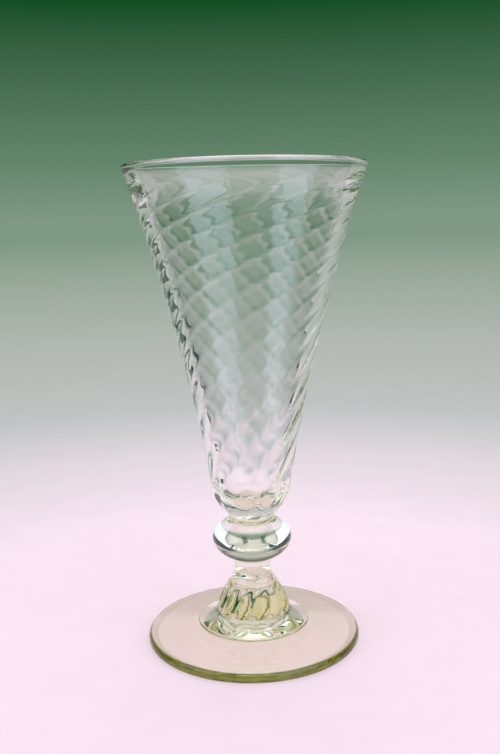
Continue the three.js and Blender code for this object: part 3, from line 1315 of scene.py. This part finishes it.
@dataclass
class Bowl(Gather):
    """The flared cone with twelve twisted ribs and a fire-polished lip.

    Attributes:
        tall: Height from its seat to the top of the lip.
        rim_radius: Radius of the lip's outside.
        rim_thickness: Thickness of the lip.
        seat_radius: Radius of its seat on the collar.
        shoulder_radius: Radius where the rounded base becomes the cone.
        shoulder_height: Height of that line.
        belly_bow: Bow of the rounded base.
        flare: Share of the widening that comes with the square of the height.
        lower_thickness: Thickness of the wall low down, at the crests.
        upper_thickness: Its thickness in the upper half.
        swell: Shares of the height between which it thickens.
        lip_taper: Height below the lip over which it thins.
        rib_depth: Depth of the valleys low down.
        upper_depth: Their depth in the upper half.
        shallowing: Shares of the height between which they grow shallower.
        crease: Power by which they are narrower in the upper half.
        creasing: Shares of the height between which they narrow.
        inner_depth: Depth of their trace inside.
        seat_ribs: Fullness of the ribs at the seat.
        rib_fade: Height below the lip over which the ribs die away.
        plain_share: Share of that height that is left plain.
        floor_thickness: Height of the well's bottom.
        well_height: Height of the well's rounding.
        well_end: Turn at which the rounding ends, just short of the axis.
        twist_turns: Turns that the ribs make from the seat to the lip.
        late_twist: Share of them that comes with the fifth power of the height.
        looseness: How the ribs wander sideways.
        pressure: How their depth wanders.
    """

    base: float = 38.2
    columns: int = 384
    valley_round: float = 0.6
    tall: float = 101.8
    rim_radius: float = 34.4
    rim_thickness: float = 2.2
    seat_radius: float = 6.7
    shoulder_radius: float = 11.5
    shoulder_height: float = 7.2
    belly_bow: tuple[float, float] = (0.86, 0.57)
    flare: float = 0.37
    lower_thickness: float = 3.0
    upper_thickness: float = 3.6
    swell: tuple[float, float] = (0.25, 0.75)
    lip_taper: float = 10.0
    rib_depth: float = 0.36
    upper_depth: float = 0.16
    shallowing: tuple[float, float] = (0.15, 0.6)
    crease: float = 2.5
    creasing: tuple[float, float] = (0.25, 0.7)
    inner_depth: float = 0.05
    seat_ribs: float = 0.35
    rib_fade: float = 12.0
    plain_share: float = 0.15
    floor_thickness: float = 4.4
    well_height: float = 8.0
    well_end: float = 0.755
    twist_turns: float = 1.134
    late_twist: float = 0.226
    looseness: Wander = Wander(0.004, ((3, 0.011, 0.2), (5, -0.017, 1.3), (2, 0.006, 2.2)))
    pressure: Wander = Wander(0.3, ((4, 0.013, 0.9), (7, -0.009, 2.6), (1, 0.02, 0.1)))

    name = "bowl_wrythen"
    node = "bowl"
    slot = Slot.BOWL

    @property
    def lip_height(self) -> float:
        """Height of the middle of the lip."""
        return self.tall - self.rim_thickness / 2

    def side_radius(self, height: Array) -> Array:
        """Gives the radius of the crests from the shoulder to the lip.

        Formula: from the shoulder to the rim by the height's share and its
        square, of which the flare is the square's part.

        Args:
            height: Height above the bowl's seat.

        Returns:
            The radius at each height.
        """
        share = (height - self.shoulder_height) / (self.lip_height - self.shoulder_height)
        flared = (1.0 - self.flare) * share + self.flare * share * share
        return self.shoulder_radius + (self.rim_radius - self.shoulder_radius) * flared

    def thickness(self, height: Array) -> Array:
        """Gives the wall's thickness at the crests.

        Formula: a smooth rise from the lower thickness to the upper one, less
        a smooth fall to the rim's thickness just below the lip.

        Args:
            height: Height above the bowl's seat.

        Returns:
            The thickness at each height.
        """
        swollen = smoothstep(height / self.lip_height, *self.swell)
        thinned = smoothstep(height, self.lip_height - self.lip_taper, self.lip_height)
        swell = (self.upper_thickness - self.lower_thickness) * swollen
        taper = (self.upper_thickness - self.rim_thickness) * thinned
        return self.lower_thickness + swell - taper

    def inner_radius(self, height: Array) -> Array:
        """Gives the radius of the inside: the crests' less the wall's thickness.

        Args:
            height: Height above the bowl's seat.

        Returns:
            The radius at each height.
        """
        return self.side_radius(height) - self.thickness(height)

    def turns(self, height: Array) -> Array:
        """Gives the turns that the ribs make from the seat up to a height.

        Formula: the twist times the height's share and its fifth power, of
        which the late twist is the power's part, because the hot lip was
        twisted most.

        Args:
            height: Height above the bowl's seat.

        Returns:
            The turns at each height.
        """
        share = height / self.tall
        steady = (1.0 - self.late_twist) * share
        return self.twist_turns * (steady + self.late_twist * share**5)

    def rib_share(self, height: Array) -> Array:
        """Gives how full the ribs are: faint at the seat, gone at the lip.

        Formula: a smooth rise up to the shoulder times a smooth fall to the lip.

        Args:
            height: Height above the bowl's seat.

        Returns:
            The fullness from 0 to 1 at each height.
        """
        risen = smoothstep(height, 0.0, self.shoulder_height)
        belly = self.seat_ribs + (1.0 - self.seat_ribs) * risen
        plain = self.plain_share * self.rib_fade
        return belly * smoothstep(self.lip_height - height, plain, self.rib_fade)

    def outline(self) -> tuple[Array, int]:
        """Gives the outline up the outside, over the lip and down into the well.

        Formula: a bent base, the crests' radius, half a circle for the lip, the
        inside's radius and a quarter of an ellipse for the well.

        Returns:
            The points, and how many of them are outside.
        """
        seat = np.array([self.seat_radius, 0.0])
        shoulder = np.array([self.shoulder_radius, self.shoulder_height])
        belly = bend([seat, between(seat, shoulder, *self.belly_bow), shoulder], 16)
        height = np.linspace(self.shoulder_height, self.lip_height, 133)
        side = np.stack([self.side_radius(height), height], axis=1)
        half = self.rim_thickness / 2
        centre = np.array([self.rim_radius - half, self.lip_height])
        lip = arc(centre, half, half, 0.0, 0.5, 14)
        well_top = self.floor_thickness + self.well_height
        height = np.linspace(self.lip_height, well_top, 60)
        wall = np.stack([self.inner_radius(height), height], axis=1)
        across = float(self.inner_radius(np.array(well_top)))
        middle = np.array([0.0, well_top])
        well = arc(middle, across, self.well_height, 1.0, self.well_end, 22)
        outside = joined(belly, side)
        return held(joined(outside, lip, wall, well)), len(outside) + 1

    def surface(self) -> Surface:
        """Turns the outline, twists it and presses the ribs in.

        Formula: outside, the radius less the rib depth, which falls to the
        upper one, times the ribs' fullness times the depth between two ribs,
        to a power that grows to the crease with the height, so that the
        valleys narrow; the inside follows it with the inner depth. The
        azimuth grows by the turns.

        Returns:
            The closed surface.
        """
        outline, outside = self.outline()
        surface = self.lathe(outline, {0: Band.FUSED}, JOINT_GAP)
        height = surface.height - self.base
        row = np.arange(len(outline))[:, None]
        full = self.rib_share(np.clip(height, 0.0, self.lip_height))
        share = height / self.lip_height
        pressure = np.minimum(1.0 + self.pressure.at(surface.turn, height), 1.0)
        turn = surface.turn + self.looseness.at(surface.turn, height) * full
        power = 1.0 + (self.crease - 1.0) * smoothstep(share, *self.creasing)
        lobe = valley(turn, self.valley_round) ** power
        shallower = (self.rib_depth - self.upper_depth) * smoothstep(share, *self.shallowing)
        pressed = (self.rib_depth - shallower) * full * lobe * pressure
        followed = self.inner_depth * full * lobe * pressure
        well = smoothstep(height, self.floor_thickness, self.floor_thickness + self.well_height)
        surface.hollow = np.where(row < outside, full * lobe, 0.0)
        surface.radius -= np.where(row < outside, pressed, followed * well)
        surface.turn = surface.turn + self.turns(np.minimum(height, self.lip_height))
        surface.high = self.base + self.floor_thickness
        return surface


# The studio: camera, floor, lamps and world.


@dataclass(frozen=True)
class Stop:
    """A colour of a graded surface, and where on its scale the colour stands."""

    place: float
    colour: Colour


@dataclass(frozen=True)
class Backdrop:
    """What the glass stands on and in: graded paper, and the soft room round it.

    Attributes:
        paper: The floor's colours by nearness, which is 1 at the glass.
        behind: Colours behind the glass, by the sine of a ray's elevation.
        beside: Colours to its left and right, by the same measure.
        front: Colours on the camera's side, by the same measure.
    """

    paper: tuple[Stop, ...] = (
        Stop(0.04, (0.215, 0.318, 0.235)),
        Stop(0.1, (0.29, 0.375, 0.298)),
        Stop(0.18, (0.37, 0.43, 0.37)),
        Stop(0.27, (0.45, 0.48, 0.45)),
        Stop(0.42, (0.525, 0.55, 0.545)),
        Stop(0.53, (0.76, 0.69, 0.75)),
        Stop(0.68, (0.95, 0.785, 0.87)),
        Stop(0.8, (0.95, 0.77, 0.85)),
    )
    behind: tuple[Stop, ...] = (
        Stop(0.0, (0.215, 0.318, 0.235)),
        Stop(0.06, (0.127, 0.235, 0.151)),
        Stop(0.14, (0.06, 0.15, 0.08)),
        Stop(0.216, (0.005, 0.075, 0.017)),
        Stop(0.29, (0.01, 0.08, 0.03)),
        Stop(0.33, (0.5, 0.5, 0.5)),
        Stop(0.68, (0.66, 0.62, 0.65)),
        Stop(0.85, (0.93, 0.86, 0.9)),
        Stop(1.0, (1.0, 0.93, 0.97)),
    )
    beside: tuple[Stop, ...] = (
        Stop(0.0, (0.01, 0.035, 0.02)),
        Stop(0.4, (0.015, 0.045, 0.03)),
        Stop(0.6, (0.3, 0.32, 0.32)),
        Stop(0.8, (0.88, 0.84, 0.87)),
        Stop(1.0, (1.0, 0.93, 0.97)),
    )
    front: tuple[Stop, ...] = (
        Stop(0.0, (0.06, 0.1, 0.1)),
        Stop(0.3, (0.07, 0.12, 0.13)),
        Stop(0.5, (0.2, 0.25, 0.3)),
        Stop(0.75, (0.95, 0.9, 0.95)),
        Stop(1.0, (1.0, 0.93, 0.97)),
    )


@dataclass(frozen=True)
class Card:
    """A dark card that lies on the floor for the glass alone to show.

    Attributes:
        name: The card's name.
        corners: Its corners, anticlockwise from above, in millimetres.
        colour: Its colour.
    """

    name: str
    corners: tuple[tuple[float, float], ...]
    colour: Colour

    def build(self) -> None:
        """Lays the card just above the floor, unseen by the camera and by soft light.

        Formula: one flat face through its corners, at the glass's own foot.
        """
        points = [(x * MILLIMETRE, y * MILLIMETRE, 0.0) for x, y in self.corners]
        mesh = bpy.data.meshes.new(self.name)
        mesh.from_pydata(points, [], [tuple(range(len(points)))])
        material = bpy.data.materials.new(self.name)
        material.use_nodes = True
        material.node_tree.nodes.clear()
        bench = Bench(material.node_tree)
        dark = bench.node("ShaderNodeEmission", {"Color": (*self.colour, 1.0), "Strength": 1.0})
        output = bench.node("ShaderNodeOutputMaterial")
        bench.tree.links.new(dark.outputs[0], output.inputs["Surface"])
        mesh.materials.append(material)
        card = bpy.data.objects.new(self.name, mesh)
        card.visible_camera = False
        card.visible_diffuse = False
        card.visible_shadow = False
        bpy.context.scene.collection.objects.link(card)


@dataclass(frozen=True)
class Lamp:
    """A soft rectangular lamp that faces the glass.

    Attributes:
        name: The lamp's name.
        azimuth: Degrees from the side that the camera stands on, rightwards.
        elevation: Degrees above the bowl's middle.
        distance: Metres from the bowl's middle.
        size: Width and height, in metres.
        radiance: How bright its face is, where 1 is white.
        colour: Its colour.
    """

    name: str
    azimuth: float
    elevation: float
    distance: float
    size: tuple[float, float]
    radiance: float
    colour: Colour

    def build(self) -> None:
        """Hangs the lamp with its face towards the glass.

        Formula: its power is its radiance times its area times pi, and it
        hangs at its distance along its direction from the bowl's middle.
        """
        data = bpy.data.lights.new(self.name, "AREA")
        data.shape = "RECTANGLE"
        data.size, data.size_y = self.size
        data.energy = self.radiance * self.size[0] * self.size[1] * math.pi
        data.color = self.colour
        lamp = bpy.data.objects.new(self.name, data)
        bpy.context.scene.collection.objects.link(lamp)
        side, rise = math.radians(self.azimuth), math.radians(self.elevation)
        level = math.cos(rise)
        away = Vector((level * math.sin(side), -level * math.cos(side), math.sin(rise)))
        turned = away.to_track_quat("Z", "Y").to_matrix().to_4x4()
        place = away * self.distance + Vector((0.0, 0.0, BOWL_MIDDLE))
        lamp.matrix_world = Matrix.Translation(place) @ turned


@dataclass
class Studio:
    """A pale floor, a graded backdrop, soft lamps and the camera.

    Attributes:
        backdrop: Colours of the floor and of the room.
        cards: The dark cards, left, behind on the left, right and in front.
        lamps: Two tall soft lamps in front, and one overhead.
        camera_place: Where the camera stands, in millimetres.
        camera_pitch: How far it looks down, in radians.
        camera_roll: How far it leans, in radians.
        focal_pixels: Its focal length, in pixels of the picture.
        picture_height: Height of the picture, in pixels.
        floor_radius: Radius of the floor, in metres.
        floor_columns: How many columns the floor's grid has.
        half_near: Distance at which the nearness is a half, in metres.
        fibre_scale: Fibres of the paper per metre.
        fibre_shade: Least and greatest shade of a fibre.
        shadow_span: Distances between which the glass's shadow fades, in metres.
        shadow_left: Share of the paper's plain colour within the shadow.
        through_left: Share of it that shows through the glass.
        rear_span: How far back a ray goes where the sides become the rear.
        front_span: How far back it goes where the front becomes the sides.
        soft_level: Level of the soft light from all round.
        bounces: How often light may bounce, so that it passes stacked walls.
    """

    backdrop: Backdrop = Backdrop()
    cards: tuple[Card, ...] = (
        Card(
            "card_left",
            ((-135, -110), (-135, 60), (-5000, 2600), (-5000, -110)),
            (0.012, 0.035, 0.02),
        ),
        Card(
            "card_back",
            ((-160, 300), (-291, 547), (-446, 431), (-245, 236)),
            (0.008, 0.045, 0.02),
        ),
        Card(
            "card_right",
            ((135, -110), (5000, -110), (5000, 2600), (135, 60)),
            (0.03, 0.06, 0.04),
        ),
        Card(
            "card_front",
            ((-5000, -5000), (5000, -5000), (5000, -110), (-5000, -110)),
            (0.03, 0.06, 0.05),
        ),
    )
    lamps: tuple[Lamp, ...] = (
        Lamp("lamp_left", -65.0, 24.0, 1.2, (0.95, 0.85), 2.1, DAYLIGHT),
        Lamp("lamp_right", 52.0, 24.0, 1.2, (1.25, 0.85), 2.0, DAYLIGHT),
        Lamp("lamp_overhead", 180.0, 72.0, 1.1, (0.7, 0.5), 1.8, WARM),
    )
    camera_place: tuple[float, float, float] = (0.392, -264.1, 124.75)
    camera_pitch: float = 0.1704
    camera_roll: float = -0.0209
    focal_pixels: float = 922.6
    picture_height: float = 754.0
    floor_radius: float = 6.0
    floor_columns: int = 96
    half_near: float = 0.25
    fibre_scale: float = 60.0
    fibre_shade: tuple[float, float] = (0.985, 1.015)
    shadow_span: tuple[float, float] = (0.05, 0.22)
    shadow_left: float = 0.45
    through_left: float = 0.9
    rear_span: tuple[float, float] = (0.7, 0.93)
    front_span: tuple[float, float] = (-0.75, -0.2)
    soft_level: float = 0.75
    bounces: int = 96

    def camera(self) -> None:
        """Makes the camera from the photograph's fitted pinhole.

        Formula: the lens is the sensor's width times the focal pixels over the
        picture's height; the view is pitched down and then leans about itself.
        """
        data = bpy.data.cameras.new("camera")
        data.sensor_width = 36.0
        data.lens = data.sensor_width * self.focal_pixels / self.picture_height
        data.clip_start = 0.01
        camera = bpy.data.objects.new("camera", data)
        bpy.context.scene.collection.objects.link(camera)
        ahead = Vector((0.0, math.cos(self.camera_pitch), -math.sin(self.camera_pitch)))
        level = Vector((1.0, 0.0, 0.0))
        upright = level.cross(ahead)
        lean = self.camera_roll
        right = math.cos(lean) * level + math.sin(lean) * upright
        up = math.cos(lean) * upright - math.sin(lean) * level
        turned = Matrix((right, up, -ahead)).transposed().to_4x4()
        place = Vector(self.camera_place) * MILLIMETRE
        camera.matrix_world = Matrix.Translation(place) @ turned
        bpy.context.scene.camera = camera

    @staticmethod
    def seen(bench: Bench) -> Socket:
        """Gives 1 for the rays that show a background, and 0 for those that light.

        Formula: the greatest of the camera's, glossy and transmission shares,
        as long as the ray has met no dull surface.

        Args:
            bench: Where the nodes go.

        Returns:
            The share.
        """
        path = bench.node("ShaderNodeLightPath").outputs
        eye = bench.math("MAXIMUM", path["Is Camera Ray"], path["Is Glossy Ray"])
        clear = bench.math("MAXIMUM", eye, path["Is Transmission Ray"])
        direct = bench.math("LESS_THAN", path["Diffuse Depth"], 0.5)
        return bench.math("MULTIPLY", clear, direct)

    @staticmethod
    def graded(bench: Bench, scale: Socket, stops: tuple[Stop, ...]) -> Socket:
        """Gives the colour that stands at a place on a graded scale.

        Formula: the colour goes evenly from each stop to the next.

        Args:
            bench: Where the node goes.
            scale: The place, from 0 to 1.
            stops: The scale's colours, from its low end.

        Returns:
            The colour.
        """
        ramp = bench.node("ShaderNodeValToRGB", {"Fac": scale})
        elements = ramp.color_ramp.elements
        for number, stop in enumerate(stops):
            element = elements[number] if number < 2 else elements.new(stop.place)
            element.position = stop.place
            element.color = (*stop.colour, 1.0)
        return ramp.outputs[0]

    def floor(self) -> None:
        """Makes the pale floor, a disc that fades into the backdrop far away.

        Formula: evenly spaced rings near the glass, and rings at growing
        distances beyond, each turned about the axis.
        """
        near, far = np.linspace(0.01, 0.4, 40), np.geomspace(0.42, self.floor_radius, 40)
        radius = np.concatenate([near, far])
        columns = self.floor_columns
        turn = np.tile(np.arange(columns) / columns, (len(radius), 1))
        grid = np.tile(radius[:, None], (1, columns)) / MILLIMETRE
        height = np.full_like(grid, -JOINT_GAP)
        angle = turn * math.tau
        points = np.stack([grid * np.cos(angle), grid * np.sin(angle), height], axis=-1)
        points = np.vstack([[[0.0, 0.0, -JOINT_GAP]], points.reshape(-1, 3)]) * MILLIMETRE
        index = 1 + np.arange(grid.size).reshape(grid.shape)
        after = np.roll(index, -1, axis=1)
        quads = np.stack([index[:-1], index[1:], after[1:], after[:-1]], axis=-1)
        fan = np.stack([np.zeros(columns, int), index[0], after[0]], axis=-1)
        mesh = bpy.data.meshes.new("floor")
        mesh.from_pydata(points, [], fan.tolist() + quads.reshape(-1, 4).tolist())
        mesh.materials.append(self.floor_material())
        floor = bpy.data.objects.new("floor", mesh)
        bpy.context.scene.collection.objects.link(floor)

    def floor_material(self) -> bpy.types.Material:
        """Builds the floor's paper, graded by its distance from the glass.

        Formula: the nearness is the half-near distance over itself plus the
        distance. The paper shows its plain colour, and its lit one in the
        share that keeps the glass's shadow.

        Returns:
            The material.
        """
        material = bpy.data.materials.new("floor_paper")
        material.use_nodes = True
        material.node_tree.nodes.clear()
        bench = Bench(material.node_tree)
        output = bench.node("ShaderNodeOutputMaterial")
        span = bench.node(
            "ShaderNodeVectorMath", {0: bench.place()}, operation="LENGTH"
        ).outputs["Value"]
        apart = bench.math("ADD", span, self.half_near)
        nearness = bench.math("DIVIDE", self.half_near, apart)
        graded = self.graded(bench, nearness, self.backdrop.paper)
        path = bench.node("ShaderNodeLightPath").outputs
        fibre = bench.node(
            "ShaderNodeTexNoise",
            {"Vector": bench.place(), "Scale": self.fibre_scale, "Detail": 3.0},
        ).outputs[0]
        shade = bench.ramp(fibre, 0.2, 0.8, *self.fibre_shade)
        paper = bench.node(
            "ShaderNodeVectorMath", {0: graded, 3: shade}, operation="SCALE"
        ).outputs[0]
        lit = bench.node("ShaderNodeBsdfDiffuse", {"Color": paper})
        shown = bench.node("ShaderNodeEmission", {"Color": paper, "Strength": 1.0})
        beyond = bench.ramp(span, *self.shadow_span, self.shadow_left, 1.0)
        bright = bench.math("MULTIPLY", path["Is Transmission Ray"], self.through_left)
        share = bench.math("MULTIPLY", bench.math("MAXIMUM", beyond, bright), self.seen(bench))
        mixed = bench.node(
            "ShaderNodeMixShader", {0: share, 1: lit.outputs[0], 2: shown.outputs[0]}
        )
        bench.tree.links.new(mixed.outputs[0], output.inputs["Surface"])
        return material

    def world(self) -> None:
        """Makes the world: soft even light, and the backdrop for rays that show it.

        Formula: three grades by the sine of a ray's elevation, blended by how
        far the ray goes to the back or to the camera's side.
        """
        world = bpy.data.worlds.new("studio")
        bpy.context.scene.world = world
        world.use_nodes = True
        world.node_tree.nodes.clear()
        bench = Bench(world.node_tree)
        output = bench.node("ShaderNodeOutputWorld")
        ray = bench.node("ShaderNodeTexCoord").outputs["Generated"]
        rise = bench.node("ShaderNodeSeparateXYZ", {0: ray}).outputs["Z"]
        level = bench.node(
            "ShaderNodeVectorMath", {0: ray, 1: (1.0, 1.0, 0.0)}, operation="MULTIPLY"
        ).outputs[0]
        compass = bench.node("ShaderNodeVectorMath", {0: level}, operation="NORMALIZE").outputs[0]
        away = bench.node("ShaderNodeSeparateXYZ", {0: compass}).outputs["Y"]
        behind = self.graded(bench, rise, self.backdrop.behind)
        beside = self.graded(bench, rise, self.backdrop.beside)
        front = self.graded(bench, rise, self.backdrop.front)
        rear = bench.blend(bench.ramp(away, *self.rear_span), beside, behind)
        around = bench.blend(bench.ramp(away, *self.front_span, 1.0, 0.0), rear, front)
        shown = bench.node("ShaderNodeBackground", {"Color": around, "Strength": 1.0})
        soft = bench.node(
            "ShaderNodeBackground",
            {"Color": (1.0, 1.0, 1.0, 1.0), "Strength": self.soft_level},
        )
        mixed = bench.node(
            "ShaderNodeMixShader",
            {0: self.seen(bench), 1: soft.outputs[0], 2: shown.outputs[0]},
        )
        bench.tree.links.new(mixed.outputs[0], output.inputs["Surface"])

    def build(self) -> None:
        """Sets the studio up, with bounces enough for stacked clear walls."""
        self.camera()
        self.floor()
        for part in (*self.cards, *self.lamps):
            part.build()
        self.world()
        scene = bpy.context.scene
        scene.view_settings.view_transform = "Standard"
        scene.cycles.max_bounces = self.bounces
        scene.cycles.transmission_bounces = self.bounces
        scene.cycles.glossy_bounces = self.bounces
        scene.cycles.transparent_max_bounces = self.bounces


def main() -> None:
    """Loads the frame, builds the glass from foot to lip, and sets the studio up."""
    logging.basicConfig(level=logging.INFO, format="%(name)s: %(message)s")
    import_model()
    effects = Effects.made()
    thick = GlassFinish("thick_glass", effects).build()
    clear = GlassFinish(
        "bowl_glass", effects, density=7.0, ring_share=0.1, wave_scale=90.0
    ).build()
    foot_glass = GlassFinish(
        "foot_glass",
        effects,
        tint=(0.99, 0.957, 0.905),
        absorbed=(0.72, 0.76, 0.1),
        density=30.0,
        cord_tint=(0.965, 0.94, 0.91),
        ring_share=0.0,
        haze=0.05,
        # Painted shade: dark olive on the foot's edge, for camera rays alone.
        painted_edge_shade=(0.25, 0.235, 0.03),
    ).build()
    Foot().build(foot_glass)
    PontilScar().build(SnappedFinish("snapped_glass", effects).build())
    for gather in (Pedestal(), Stem(), Knop(), Collar()):
        gather.build(thick)
    Bowl().build(clear)
    Studio().build()


if __name__ == "__main__":
    main()
